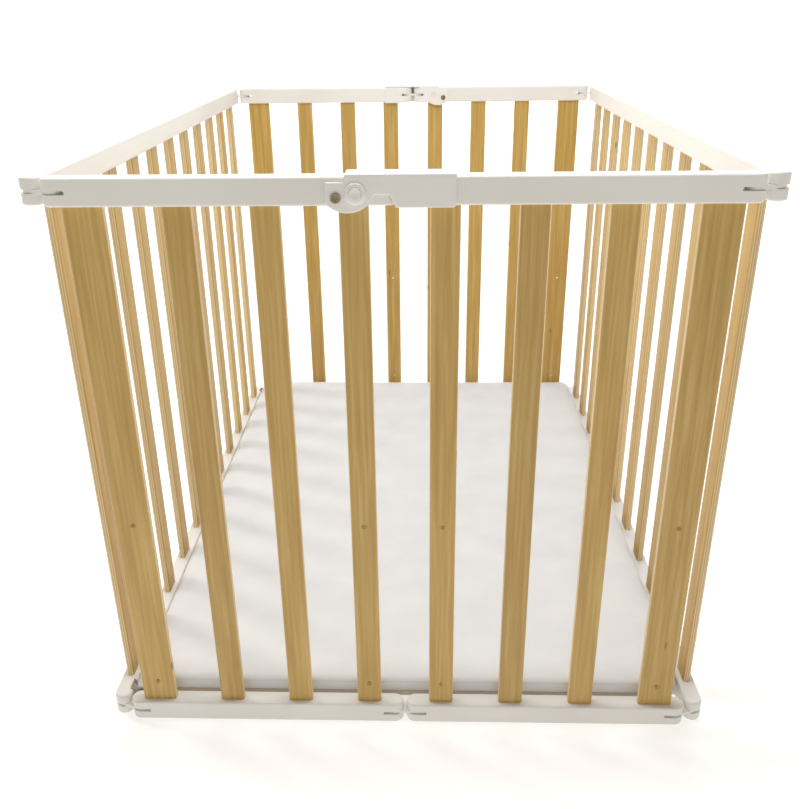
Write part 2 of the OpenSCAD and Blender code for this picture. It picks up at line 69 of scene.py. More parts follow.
def newMaterial(name, surface):
    material = bpy.data.materials.new(name)
    material.use_nodes = True
    tree = material.node_tree
    tree.nodes.clear()
    shader = addNode(tree, "ShaderNodeBsdfPrincipled", inputs=surface)
    addNode(tree, "ShaderNodeOutputMaterial", inputs={"Surface": shader.outputs[0]})
    return material, tree, shader


def ramp(tree, factor, stops):
    node = addNode(tree, "ShaderNodeValToRGB", inputs={"Fac": factor})
    for i, (place, colour) in enumerate(stops):
        stop = node.color_ramp.elements[i] if i < 2 else node.color_ramp.elements.new(place)
        stop.position = place
        stop.color = linearColour(colour)
    return node.outputs["Color"]


# lays a pattern's 0 to 1 out between two values, into a socket
def spread(tree, pattern, limits, socket):
    laid = addNode(tree, "ShaderNodeMapRange", inputs={
        "Value": pattern, "To Min": limits[0], "To Max": limits[1]})
    tree.links.new(laid.outputs[0], socket)


def giveMaterial(obj, material):
    if obj.material_slots:
        for holder in obj.material_slots:
            holder.material = material
    else:
        obj.data.materials.append(material)


def newObject(name, mesh):
    obj = bpy.data.objects.new(name, mesh)
    bpy.context.scene.collection.objects.link(obj)
    return obj


def shadeByAngle(mesh, degrees):
    mesh.polygons.foreach_set("use_smooth", [True] * len(mesh.polygons))
    mesh.set_sharp_from_angle(angle=math.radians(degrees))


# turns an object's modifiers into a plain mesh, so none is left on it
def settle(obj):
    bpy.context.view_layer.update()
    graph = bpy.context.evaluated_depsgraph_get()
    mesh = bpy.data.meshes.new_from_object(obj.evaluated_get(graph), depsgraph=graph)
    obj.modifiers.clear()
    old = obj.data
    obj.data = mesh
    mesh.name = obj.name
    bpy.data.meshes.remove(old)
    return obj


print("materials")

# Satin acrylic paint, rolled on solid wood: an even warm white, a faint stipple, and long grain
# that just shows through the film
paint = {"white": "#F4F2ED", "shade": "#EEEBE4", "roughness": (0.33, 0.45), "stippleMm": 1.1,
         "grainMm": 3.0, "grainLengthMm": 140.0, "cloudMm": 1000 / 6, "ior": 1.49,
         "grainReliefMm": 0.4, "stippleReliefMm": 0.2}


def satinPaint(name, along):
    material, tree, shader = newMaterial(name, {"IOR": paint["ior"]})
    spot = addNode(tree, "ShaderNodeTexCoord").outputs["Object"]
    grainScale = [1000 / paint["grainMm"]] * 3
    grainScale[along] = 1000 / paint["grainLengthMm"]
    stretched = addNode(tree, "ShaderNodeMapping", inputs={"Vector": spot, "Scale": grainScale})
    grain = addNode(tree, "ShaderNodeTexNoise", inputs={
        "Vector": stretched.outputs[0], "Scale": 1.0, "Detail": 3.0}).outputs["Fac"]
    stipple = addNode(tree, "ShaderNodeTexNoise", inputs={
        "Vector": spot, "Scale": 1000 / paint["stippleMm"], "Detail": 1.0}).outputs["Fac"]
    cloud = addNode(tree, "ShaderNodeTexNoise", inputs={
        "Vector": spot, "Scale": 1000 / paint["cloudMm"], "Detail": 2.0}).outputs["Fac"]
    tree.links.new(ramp(tree, cloud, [(0.35, paint["white"]), (0.7, paint["shade"])]),
                   shader.inputs["Base Color"])
    spread(tree, grain, paint["roughness"], shader.inputs["Roughness"])
    grainBump = addNode(tree, "ShaderNodeBump", inputs={
        "Height": grain, "Strength": 0.12, "Distance": paint["grainReliefMm"] * mm})
    fineBump = addNode(tree, "ShaderNodeBump", inputs={
        "Height": stipple, "Strength": 0.1, "Distance": paint["stippleReliefMm"] * mm,
        "Normal": grainBump.outputs[0]})
    tree.links.new(fineBump.outputs[0], shader.inputs["Normal"])
    return material


paintAlongX = satinPaint("satinPaintAlongX", 0)
paintAlongY = satinPaint("satinPaintAlongY", 1)

# Birch plywood under clear satin lacquer: straight honey figure on the faces, and on the rounded edges
# the ply layers, turn about lighter and darker, with thin brown glue lines. Both edge layer colours are
# painted paler than the faces: the wood's own layers, plus a painted highlight of the lacquer on the rounded
# edges
plywood = {"light": "#D6B66E", "middle": "#C8A457", "dark": "#B8924A", "highlitEdgeLayerPale": "#F0DCAE",
           "highlitEdgeLayerDeep": "#DDBD82", "glue": "#8F6A38", "knot": "#7A5024", "pore": "#A87C44",
           "layerMm": 9.0 / 7, "faceMm": 0.9, "skinMm": 0.3, "glueWidth": 0.12, "glueStrength": 0.4,
           "figureMm": 5.0, "figureLengthMm": 160.0, "poreMm": 0.7, "poreLengthMm": 9.0,
           "knotScale": (38.0, 38.0, 9.0), "boardShift": 3.7, "tone": (0.93, 1.05),
           "roughness": (0.36, 0.52), "reliefMm": 0.2, "coat": 0.22, "coatRoughness": 0.24}


def birchPly(name, place, tint, thicknessMm, saturation=1.0):
    material, tree, shader = newMaterial(name, {
        "IOR": 1.5, "Coat Weight": plywood["coat"], "Coat Roughness": plywood["coatRoughness"]})
    across, through, length = addNode(
        tree, "ShaderNodeSeparateXYZ", inputs={"Vector": place(tree)}).outputs
    # each board's figure starts at a different length
    shifted = addNode(tree, "ShaderNodeMath", {"operation": "MULTIPLY_ADD"}, {
        0: tint(tree), 1: plywood["boardShift"], 2: length})
    spot = addNode(tree, "ShaderNodeCombineXYZ", inputs={
        "X": across, "Y": through, "Z": shifted.outputs[0]}).outputs[0]
    figureAt = addNode(tree, "ShaderNodeMapping", inputs={"Vector": spot, "Scale": (
        1000 / plywood["figureMm"], 1000 / plywood["figureMm"], 1000 / plywood["figureLengthMm"])})
    figure = addNode(tree, "ShaderNodeTexNoise", inputs={
        "Vector": figureAt.outputs[0], "Scale": 1.0, "Detail": 4.0, "Distortion": 0.35}).outputs["Fac"]
    poreAt = addNode(tree, "ShaderNodeMapping", inputs={"Vector": spot, "Scale": (
        1000 / plywood["poreMm"], 1000 / plywood["poreMm"], 1000 / plywood["poreLengthMm"])})
    pore = addNode(tree, "ShaderNodeTexNoise", inputs={
        "Vector": poreAt.outputs[0], "Scale": 1.0, "Detail": 2.0}).outputs["Fac"]
    face = ramp(tree, figure, [
        (0.25, plywood["dark"]), (0.72, plywood["light"]), (0.5, plywood["middle"])])
    # depth below the nearer face decides the layer, and the face itself stays inside the outer one
    depth = addNode(tree, "ShaderNodeMath", {"operation": "ABSOLUTE"}, {0: through})
    held = addNode(tree, "ShaderNodeMath", {"operation": "MINIMUM"}, {
        0: depth.outputs[0], 1: (thicknessMm / 2 - plywood["skinMm"]) * mm})
    count = addNode(tree, "ShaderNodeMath", {"operation": "MULTIPLY_ADD"}, {
        0: held.outputs[0], 1: 1000 / plywood["layerMm"], 2: 0.5}).outputs[0]
    layer = addNode(tree, "ShaderNodeMath", {"operation": "FLOOR"}, {0: count})
    even = addNode(tree, "ShaderNodeMath", {"operation": "MODULO"}, {0: layer.outputs[0], 1: 2.0})
    # the edge's layer colours: the real ply layers, lifted by a painted highlight on the rounded edges
    edge = addNode(tree, "ShaderNodeMix", {"data_type": "RGBA"}, {
        0: even.outputs[0], 6: linearColour(plywood["highlitEdgeLayerPale"]), 7: linearColour(plywood["highlitEdgeLayerDeep"])})
    onFace = addNode(tree, "ShaderNodeMath", {"operation": "GREATER_THAN"}, {
        0: count, 1: (thicknessMm / 2 - plywood["faceMm"]) / plywood["layerMm"] + 0.5})
    layered = addNode(tree, "ShaderNodeMix", {"data_type": "RGBA"}, {
        0: onFace.outputs[0], 6: edge.outputs[2], 7: face})
    glueAt = addNode(tree, "ShaderNodeMath", {"operation": "FRACT"}, {0: count})
    glueLine = addNode(tree, "ShaderNodeMath", {"operation": "LESS_THAN"}, {
        0: glueAt.outputs[0], 1: plywood["glueWidth"]})
    inside = addNode(tree, "ShaderNodeMath", {"operation": "GREATER_THAN"}, {0: count, 1: 0.9})
    glue = addNode(tree, "ShaderNodeMath", {"operation": "MULTIPLY"}, {
        0: glueLine.outputs[0], 1: inside.outputs[0]})
    glueSoft = addNode(tree, "ShaderNodeMath", {"operation": "MULTIPLY"}, {
        0: glue.outputs[0], 1: plywood["glueStrength"]})
    glued = addNode(tree, "ShaderNodeMix", {"data_type": "RGBA"}, {
        0: glueSoft.outputs[0], 6: layered.outputs[2], 7: linearColour(plywood["glue"])})
    # pin knots, a few on each board
    knotAt = addNode(tree, "ShaderNodeMapping", inputs={"Vector": spot, "Scale": plywood["knotScale"]})
    knots = addNode(tree, "ShaderNodeTexVoronoi", inputs={"Vector": knotAt.outputs[0], "Scale": 1.0})
    knot = addNode(tree, "ShaderNodeMapRange", inputs={
        "Value": knots.outputs["Distance"], "From Min": 0.035, "From Max": 0.075,
        "To Min": 0.75, "To Max": 0.0})
    knotted = addNode(tree, "ShaderNodeMix", {"data_type": "RGBA"}, {
        0: knot.outputs[0], 6: glued.outputs[2], 7: linearColour(plywood["knot"])})
    pored = addNode(tree, "ShaderNodeMapRange", inputs={
        "Value": pore, "From Min": 0.55, "From Max": 0.8, "To Min": 0.0, "To Max": 0.25})
    finished = addNode(tree, "ShaderNodeMix", {"data_type": "RGBA"}, {
        0: pored.outputs[0], 6: knotted.outputs[2], 7: linearColour(plywood["pore"])})
    toned = addNode(tree, "ShaderNodeHueSaturation", inputs={
        "Saturation": saturation, "Color": finished.outputs[2]})
    spread(tree, tint(tree), plywood["tone"], toned.inputs["Value"])
    tree.links.new(toned.outputs[0], shader.inputs["Base Color"])
    spread(tree, figure, plywood["roughness"], shader.inputs["Roughness"])
    bump = addNode(tree, "ShaderNodeBump", inputs={
        "Height": pore, "Strength": 0.12, "Distance": plywood["reliefMm"] * mm})
    tree.links.new(bump.outputs[0], shader.inputs["Normal"])
    return material


slatPly = birchPly(
    "lacqueredBirchPly",
    lambda tree: addNode(tree, "ShaderNodeAttribute", {"attribute_name": "slatPoint"}).outputs["Vector"],
    lambda tree: addNode(tree, "ShaderNodeAttribute", {"attribute_name": "slatTint"}).outputs["Fac"], 9.0)


floorBoard = {"middleMm": 24.0, "thicknessMm": 8.0, "saturation": 0.45}


# The floor board's layers lie flat, so they are counted along Z, and its grain runs along Y
def boardPoint(tree):
    spot = addNode(tree, "ShaderNodeTexCoord")
    centred = addNode(tree, "ShaderNodeVectorMath", {"operation": "SUBTRACT"}, {
        0: spot.outputs["Object"], 1: (0, 0, floorBoard["middleMm"] * mm)})
    axes = addNode(tree, "ShaderNodeSeparateXYZ", inputs={"Vector": centred.outputs[0]}).outputs
    return addNode(tree, "ShaderNodeCombineXYZ", inputs={
        "X": axes["X"], "Y": axes["Z"], "Z": axes["Y"]}).outputs[0]


boardPly = birchPly("birchBoard", boardPoint, lambda tree: 0.0, floorBoard["thicknessMm"],
                    floorBoard["saturation"])

# Injection moulded polypropylene: near white, satin, with the fine spark texture of its mould
polymer = {"colour": "#F3F2EE", "ior": 1.49, "sparkMm": 0.5, "flowMm": 30.0, "roughness": (0.36, 0.46),
           "reliefMm": 0.2}


def mouldedPolypropylene():
    material, tree, shader = newMaterial("mouldedPolypropylene", {
        "Base Color": linearColour(polymer["colour"]), "IOR": polymer["ior"]})
    spot = addNode(tree, "ShaderNodeTexCoord").outputs["Object"]
    spark = addNode(tree, "ShaderNodeTexNoise", inputs={
        "Vector": spot, "Scale": 1000 / polymer["sparkMm"], "Detail": 2.0})
    flow = addNode(tree, "ShaderNodeTexNoise", inputs={
        "Vector": spot, "Scale": 1000 / polymer["flowMm"], "Detail": 2.0})
    spread(tree, flow.outputs["Fac"], polymer["roughness"], shader.inputs["Roughness"])
    bump = addNode(tree, "ShaderNodeBump", inputs={
        "Height": spark.outputs["Fac"], "Strength": 0.08, "Distance": polymer["reliefMm"] * mm})
    tree.links.new(bump.outputs[0], shader.inputs["Normal"])
    return material


# Plated steel, turned and pressed: a cool grey zinc, or a warmer nickel on the bolts, faintly clouded
plating = {"zinc": ("#A9A8A2", "#C4C3BE"), "nickel": ("#85795F", "#B3A484"), "cloudMm": 4.0,
           "roughness": (0.28, 0.42)}


def platedSteel(name, low, high):
    material, tree, shader = newMaterial(name, {"Metallic": 1.0})
    spot = addNode(tree, "ShaderNodeTexCoord").outputs["Object"]
    cloud = addNode(tree, "ShaderNodeTexNoise", inputs={
        "Vector": spot, "Scale": 1000 / plating["cloudMm"], "Detail": 4.0}).outputs["Fac"]
    tree.links.new(ramp(tree, cloud, [(0.3, low), (0.7, high)]), shader.inputs["Base Color"])
    spread(tree, cloud, plating["roughness"], shader.inputs["Roughness"])
    return material


# Tight plain-weave cotton with a soft wipe-clean coating: matt white, with the threads just showing.
# The real 0.4 mm threads are drawn at 1.2 mm, the finest that still shows.
cloth = {"light": "#EEF1F4", "shade": "#E7EAEE", "threadMm": 1.2, "dimpleMm": 60.0,
         "roughness": (0.8, 0.66), "sheen": 0.12, "dimpleReliefMm": 2.0, "threadReliefMm": 0.3}


def coatedCotton():
    material, tree, shader = newMaterial("coatedCotton", {
        "Sheen Weight": cloth["sheen"], "Sheen Roughness": 0.5, "IOR": 1.45})
    spot = addNode(tree, "ShaderNodeTexCoord").outputs["Object"]
    warp, weft = (addNode(tree, "ShaderNodeTexWave", {"wave_type": "BANDS", "bands_direction": axis}, {
        "Vector": spot, "Scale": 1000 / cloth["threadMm"] / (2 * math.pi), "Distortion": 0.6,
        "Detail": 1.0, "Detail Scale": 2.0}).outputs["Fac"] for axis in ("X", "Y"))
    weave = addNode(tree, "ShaderNodeMath", {"operation": "MAXIMUM"}, {0: warp, 1: weft}).outputs[0]
    soft = addNode(tree, "ShaderNodeTexNoise", inputs={
        "Vector": spot, "Scale": 1000 / cloth["dimpleMm"], "Detail": 3.0}).outputs["Fac"]
    tree.links.new(ramp(tree, soft, [(0.3, cloth["light"]), (0.7, cloth["shade"])]),
                   shader.inputs["Base Color"])
    spread(tree, weave, cloth["roughness"], shader.inputs["Roughness"])
    dimple = addNode(tree, "ShaderNodeBump", inputs={
        "Height": soft, "Strength": 0.2, "Distance": cloth["dimpleReliefMm"] * mm})
    bump = addNode(tree, "ShaderNodeBump", inputs={
        "Height": weave, "Strength": 0.12, "Distance": cloth["threadReliefMm"] * mm,
        "Normal": dimple.outputs[0]})
    tree.links.new(bump.outputs[0], shader.inputs["Normal"])
    return material


plastic = mouldedPolypropylene()
steel = platedSteel("zincPlatedSteel", *plating["zinc"])
nickel = platedSteel("nickelPlatedSteel", *plating["nickel"])
cotton = coatedCotton()

print("rails, plates and hardware from the frame")

for name, node in nodes.items():
    if name.endswith("rail"):
        giveMaterial(node, paintAlongY if name.startswith("side") else paintAlongX)
    elif name == "floor_ledge":
        giveMaterial(node, paintAlongY)
    elif name.endswith(("plate", "keeper", "cover", "button")):
        giveMaterial(node, plastic)
    elif name == "floor_board":
        giveMaterial(node, boardPly)
    elif name.endswith(("bolt", "nut")):
        giveMaterial(node, nickel)
    elif name.endswith(("pins", "plates", "screws", "spring")):
        giveMaterial(node, steel)

print("slats")

slat = {"widthMm": 30.0, "endWidthMm": 42.0, "thicknessMm": 9.0, "edgeRadiusMm": 3.0, "holeMm": 4.0,
        "sinkMm": 7.0, "holeHeightsMm": (57.0, 289.0), "sideCount": 11, "seed": 11,
        "sideSeeds": {"left": 20, "right": 40}, "smoothDegrees": 25}


# a rounded board drawn out upwards, drilled or not, and set out in a row
def slatRowTree():
    tree = bpy.data.node_groups.new("slatRow", "GeometryNodeTree")
    face = tree.interface
    face.new_socket("Geometry", in_out="OUTPUT", socket_type="NodeSocketGeometry")
    for name, kind, value in (
            ("Width", "Float", 0.03), ("Thickness", "Float", 0.009), ("Edge radius", "Float", 0.003),
            ("Bottom", "Float", 0.028), ("Length", "Float", 0.63), ("Count", "Int", 3),
            ("First", "Vector", (0, 0, 0)), ("Pitch", "Vector", (0.05, 0, 0)), ("Turn", "Float", 0.0),
            ("Drilled", "Bool", False), ("Hole", "Float", 0.004), ("Sink", "Float", 0.007),
            ("Low hole", "Float", 0.057), ("High hole", "Float", 0.289), ("Seed", "Int", 0),
            ("Material", "Material", None)):
        socket = face.new_socket(name, in_out="INPUT", socket_type=f"NodeSocket{kind}")
        if value is not None:
            socket.default_value = value
    given = addNode(tree, "NodeGroupInput").outputs
    outline = addNode(tree, "GeometryNodeCurvePrimitiveQuadrilateral", inputs={
        "Width": given["Width"], "Height": given["Thickness"]})
    rounded = addNode(tree, "GeometryNodeFilletCurve", {"mode": "POLY"}, {
        "Curve": outline.outputs[0], "Count": 6, "Radius": given["Edge radius"]})
    end = addNode(tree, "GeometryNodeFillCurve", {"mode": "NGONS"}, {"Curve": rounded.outputs[0]})
    rise = addNode(tree, "ShaderNodeCombineXYZ", inputs={"Z": given["Length"]})
    drawn = addNode(tree, "GeometryNodeExtrudeMesh", {"mode": "FACES"}, {
        "Mesh": end.outputs[0], "Offset": rise.outputs[0], "Individual": False})
    foot = addNode(tree, "GeometryNodeFlipFaces", inputs={"Mesh": end.outputs[0]})
    closed = addNode(tree, "GeometryNodeJoinGeometry")
    tree.links.new(drawn.outputs[0], closed.inputs[0])
    tree.links.new(foot.outputs[0], closed.inputs[0])
    sealed = addNode(tree, "GeometryNodeMergeByDistance", inputs={
        "Geometry": closed.outputs[0], "Distance": 1e-5})
    lift = addNode(tree, "ShaderNodeCombineXYZ", inputs={"Z": given["Bottom"]})
    board = addNode(tree, "GeometryNodeTransform", inputs={
        "Geometry": sealed.outputs[0], "Translation": lift.outputs[0]})
    # a drill right through, and a cone whose wide end stands just proud of the face
    holeRadius = addNode(tree, "ShaderNodeMath", {"operation": "MULTIPLY"}, {0: given["Hole"], 1: 0.5})
    sinkRadius = addNode(tree, "ShaderNodeMath", {"operation": "MULTIPLY"}, {0: given["Sink"], 1: 0.5})
    drillLength = addNode(tree, "ShaderNodeMath", {"operation": "MULTIPLY"}, {
        0: given["Thickness"], 1: 2.0})
    drill = addNode(tree, "GeometryNodeMeshCylinder", inputs={
        "Vertices": 24, "Radius": holeRadius.outputs[0], "Depth": drillLength.outputs[0]})
    sinkDepth = addNode(tree, "ShaderNodeMath", {"operation": "SUBTRACT"}, {
        0: sinkRadius.outputs[0], 1: holeRadius.outputs[0]})
    cone = addNode(tree, "GeometryNodeMeshCone", inputs={
        "Vertices": 24, "Radius Top": sinkRadius.outputs[0], "Radius Bottom": holeRadius.outputs[0],
        "Depth": sinkDepth.outputs[0]})
    halfThickness = addNode(tree, "ShaderNodeMath", {"operation": "MULTIPLY"}, {
        0: given["Thickness"], 1: 0.5})
    coneHeight = addNode(tree, "ShaderNodeMath", {"operation": "SUBTRACT"}, {
        0: halfThickness.outputs[0], 1: sinkDepth.outputs[0]})
    coneRaised = addNode(tree, "ShaderNodeMath", {"operation": "ADD"}, {
        0: coneHeight.outputs[0], 1: 0.00002})
    conePlace = addNode(tree, "ShaderNodeCombineXYZ", inputs={"Z": coneRaised.outputs[0]})
    sink = addNode(tree, "GeometryNodeTransform", inputs={
        "Geometry": cone.outputs["Mesh"], "Translation": conePlace.outputs[0]})
    levels = []
    for tool in (drill.outputs["Mesh"], sink.outputs[0]):
        for height in ("Low hole", "High hole"):
            place = addNode(tree, "ShaderNodeCombineXYZ", inputs={"Z": given[height]})
            levels.append(addNode(tree, "GeometryNodeTransform", inputs={
                "Geometry": tool, "Translation": place.outputs[0], "Rotation": (math.pi / 2, 0, 0)}).outputs[0])
    bored = addNode(tree, "GeometryNodeMeshBoolean", {"operation": "DIFFERENCE", "solver": "EXACT"}, {
        "Mesh 1": board.outputs[0]})
    for tool in levels:
        tree.links.new(tool, bored.inputs["Mesh 2"])
    chosen = addNode(tree, "GeometryNodeSwitch", {"input_type": "GEOMETRY"}, {
        "Switch": given["Drilled"], "False": board.outputs[0], "True": bored.outputs[0]})
    here = addNode(tree, "GeometryNodeInputPosition")
    marked = addNode(tree, "GeometryNodeStoreNamedAttribute", {
        "data_type": "FLOAT_VECTOR", "domain": "POINT"}, {
        "Geometry": chosen.outputs[0], "Name": "slatPoint", "Value": here.outputs[0]})
    line = addNode(tree, "GeometryNodeMeshLine", {"mode": "OFFSET"}, {
        "Count": given["Count"], "Start Location": given["First"], "Offset": given["Pitch"]})
    spin = addNode(tree, "ShaderNodeCombineXYZ", inputs={"Z": given["Turn"]})
    row = addNode(tree, "GeometryNodeInstanceOnPoints", inputs={
        "Points": line.outputs[0], "Instance": marked.outputs[0], "Rotation": spin.outputs[0]})
    chance = addNode(tree, "FunctionNodeRandomValue", {"data_type": "FLOAT"}, {"Seed": given["Seed"]})
    tinted = addNode(tree, "GeometryNodeStoreNamedAttribute", {
        "data_type": "FLOAT", "domain": "INSTANCE"}, {
        "Geometry": row.outputs[0], "Name": "slatTint", "Value": chance.outputs[1]})
    real = addNode(tree, "GeometryNodeRealizeInstances", inputs={"Geometry": tinted.outputs[0]})
    done = addNode(tree, "GeometryNodeSetMaterial", inputs={
        "Geometry": real.outputs[0], "Material": given["Material"]})
    addNode(tree, "NodeGroupOutput", inputs={"Geometry": done.outputs[0]})
    return tree


slatTree = slatRowTree()


def runTree(name, tree, inputs):
    obj = newObject(name, bpy.data.meshes.new(name))
    modifier = obj.modifiers.new("rule", "NODES")
    modifier.node_group = tree
    keys = {item.name: item.identifier for item in tree.interface.items_tree if item.in_out == "INPUT"}
    for socket, value in inputs.items():
        modifier[keys[socket]] = value
    return settle(obj)


def slatRow(name, widthMm, first, pitch, count, turn, drilled, seed):
    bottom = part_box("side_left_bottom_rail")[1].z
    return runTree(name, slatTree, {
        "Width": widthMm * mm, "Thickness": slat["thicknessMm"] * mm,
        "Edge radius": slat["edgeRadiusMm"] * mm, "Bottom": bottom,
        "Length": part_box("side_left_top_rail")[0].z - bottom,
        "Count": count, "First": first, "Pitch": pitch, "Turn": turn, "Drilled": drilled,
        "Hole": slat["holeMm"] * mm, "Sink": slat["sinkMm"] * mm,
        "Low hole": slat["holeHeightsMm"][0] * mm, "High hole": slat["holeHeightsMm"][1] * mm,
        "Seed": slat["seed"] + seed, "Material": slatPly})


def joinInto(name, parts):
    whole = bmesh.new()
    for part in parts:
        whole.from_mesh(part.data)
    mesh = bpy.data.meshes.new(name)
    whole.to_mesh(mesh)
    whole.free()
    for material in parts[0].data.materials:
        mesh.materials.append(material)
    for part in parts:
        old = part.data
        bpy.data.objects.remove(part)
        bpy.data.meshes.remove(old)
    return newObject(name, mesh)


for side in ("left", "right"):
    low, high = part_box(f"side_{side}_slats")
    first = Vector(((low.x + high.x) / 2, low.y + slat["widthMm"] * mm / 2, 0))
    pitch = Vector((0, (high.y - low.y - slat["widthMm"] * mm) / (slat["sideCount"] - 1), 0))
    row = slatRow(f"side{side.title()}Slats", slat["widthMm"], first, pitch, slat["sideCount"],
                  math.pi / 2, False, slat["sideSeeds"][side])
    shadeByAngle(row.data, slat["smoothDegrees"])
    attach(row, f"side_{side}")
    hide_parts(f"side_{side}_slats")

for half, sign in halves.items():
    low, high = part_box(f"{half}_slats")
    endLow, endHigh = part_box(f"{half}_end_slat")
    depth = (low.y + high.y) / 2
    halfWidth = slat["widthMm"] * mm / 2
    nearX, farX = low.x + halfWidth, high.x - halfWidth
    if sign < 0:
        nearX, farX = farX, nearX
    step = Vector(((farX - nearX) / 2, 0, 0))
    turn = 0.0 if half.startswith("front") else math.pi
    seed = 3 * list(halves).index(half)
    drilledAt = Vector((nearX, depth, 0))
    plainAt = Vector((nearX + step.x, depth, 0))
    endAt = Vector(((endLow.x + endHigh.x) / 2, depth, 0))
    parts = [slatRow("drilledSlat", slat["widthMm"], drilledAt, step, 1, turn, True, seed),
             slatRow("plainSlats", slat["widthMm"], plainAt, step, 2, turn, False, seed + 1),
             slatRow("endSlat", slat["endWidthMm"], endAt, step, 1, turn, True, seed + 2)]
    camel = "".join(word.title() if i else word for i, word in enumerate(half.split("_")))
    row = joinInto(f"{camel}Slats", parts)
    shadeByAngle(row.data, slat["smoothDegrees"])
    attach(row, half)
    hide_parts(f"{half}_slats", f"{half}_end_slat")

print("moulded latches")

moulding = {"weldMm": 0.002, "cellMm": 0.45, "relax": 0.5, "coverPasses": 34, "keeperPasses": 2,
            "share": 0.22, "smoothDegrees": 50}


# a copy of a frame piece remade in fine even faces, whose edges then relax into a mould's soft radii
def moulded(name, nodeName, body, passes):
    obj = newObject(name, nodes[nodeName].data.copy())
    shape = bmesh.new()
    shape.from_mesh(obj.data)
    bmesh.ops.remove_doubles(shape, verts=shape.verts, dist=moulding["weldMm"] * mm)
    shape.to_mesh(obj.data)
    shape.free()
    even = obj.modifiers.new("even", "REMESH")
    even.mode = "VOXEL"
    even.voxel_size = moulding["cellMm"] * mm
    relax = obj.modifiers.new("relax", "SMOOTH")
    relax.factor = moulding["relax"]
    relax.iterations = passes
    light = obj.modifiers.new("light", "DECIMATE")
    light.ratio = moulding["share"]
    settle(obj)
    obj.data.materials.clear()
    obj.data.materials.append(plastic)
    shadeByAngle(obj.data, moulding["smoothDegrees"])
    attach(obj, body)
    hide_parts(nodeName)


for end, keeperBody in (("front", "front_right"), ("back", "back_left")):
    moulded(f"{end}LatchCover", f"{end}_latch_cover", f"{end}_latch", moulding["coverPasses"])
    moulded(f"{end}LatchKeeper", f"{end}_latch_keeper", keeperBody, moulding["keeperPasses"])

print("floor padding")

padding = {"rollMm": 6.0, "leftRollMm": 16.2, "cornerMm": 25.0, "rollSteps": 6, "cellMm": 11.0,
           "sideCuts": 3, "heldMm": 6.0, "crownMm": 3.5, "sideways": 0.25, "pressure": 1.2,
           "clothMass": 0.35, "stiffness": 25, "bending": 0.6, "quality": 4, "frames": 14,
           "unevenMm": 0.9, "unevenPerM": 9, "unevenFromMm": 1, "unevenFullMm": 18,
           "seamDropMm": 8.0, "seamDepthMm": 0.7, "seamHalfMm": 1.3, "seamReachMm": 8.0,
           "smoothDegrees": 60, "seed": 4}


# distances from one edge to the other: close together over each rolled edge, even between them
def padStations(lengthMm, nearRollMm, farRollMm):
    steps = padding["rollSteps"]
    rolled = [1 - math.cos(a * math.pi / 2 / steps) for a in range(steps + 1)]
    near = [nearRollMm * share for share in rolled]
    far = [lengthMm - farRollMm * share for share in reversed(rolled)]
    gap = far[0] - near[-1]
    count = max(2, round(gap / padding["cellMm"]))
    return near + [near[-1] + gap * k / count for k in range(1, count)] + far


def rollDrop(distanceMm, rollMm):
    if distanceMm >= rollMm:
        return 0.0
    return rollMm - math.sqrt(max(0.0, rollMm ** 2 - (rollMm - distanceMm) ** 2))


# closed form: a top that rolls over at its edges, upright sides and a flat underside
def paddingForm():
    low, high = (Vector([c / mm for c in corner]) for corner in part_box("floor_padding"))
    xs = padStations(high.x - low.x, padding["leftRollMm"], padding["rollMm"])
    ys = padStations(high.y - low.y, padding["rollMm"], padding["rollMm"])
    corner = padding["cornerMm"]
    width, depth = high.x - low.x, high.y - low.y

    def plan(x, y):
        cx, cy = min(x, width - x), min(y, depth - y)
        if cx >= corner or cy >= corner:
            return low.x + x, low.y + y
        u, v = 1 - cx / corner, 1 - cy / corner
        px, py = u * math.sqrt(1 - v * v / 2), v * math.sqrt(1 - u * u / 2)
        nx, ny = corner * (1 - px), corner * (1 - py)
        return (low.x + (nx if x < width / 2 else width - nx),
                low.y + (ny if y < depth / 2 else depth - ny))

    shape = bmesh.new()
    top, under = [], []
    for x in xs:
        topRow, underRow = [], []
        for y in ys:
            px, py = plan(x, y)
            drop = max(rollDrop(x, padding["leftRollMm"]), rollDrop(width - x, padding["rollMm"]),
                       rollDrop(min(y, depth - y), padding["rollMm"]))
            topRow.append(shape.verts.new((px * mm, py * mm, (high.z - drop) * mm)))
            underRow.append(shape.verts.new((px * mm, py * mm, low.z * mm)))
        top.append(topRow)
        under.append(underRow)
    for i in range(len(xs) - 1):
        for j in range(len(ys) - 1):
            shape.faces.new((top[i][j], top[i + 1][j], top[i + 1][j + 1], top[i][j + 1]))
            shape.faces.new((under[i][j], under[i][j + 1], under[i + 1][j + 1], under[i + 1][j]))
    m, n = len(xs) - 1, len(ys) - 1
    ring = [(i, 0) for i in range(m)] + [(m, j) for j in range(n)]
    ring += [(i, n) for i in range(m, 0, -1)] + [(0, j) for j in range(n, 0, -1)]
    for k, (i, j) in enumerate(ring):
        p, q = ring[(k + 1) % len(ring)]
        shape.faces.new((top[p][q], top[i][j], under[i][j], under[p][q]))
    bmesh.ops.recalc_face_normals(shape, faces=shape.faces)
    sides = [f for f in shape.faces
             if abs(f.normal.z) < 0.5 and min(v.co.z for v in f.verts) < (low.z + 0.1) * mm]
    edges = list({e for f in sides for e in f.edges
                  if abs(e.verts[0].co.z - e.verts[1].co.z) > 0.5 * mm})
    bmesh.ops.subdivide_edges(shape, edges=edges, cuts=padding["sideCuts"], use_grid_fill=True)
    mesh = bpy.data.meshes.new("floorPadding")
    shape.to_mesh(mesh)
    shape.free()
    return newObject("floorPadding", mesh), low, high


def vertexArray(mesh):
    co = np.zeros(len(mesh.vertices) * 3)
    mesh.vertices.foreach_get("co", co)
    return co.reshape(-1, 3)


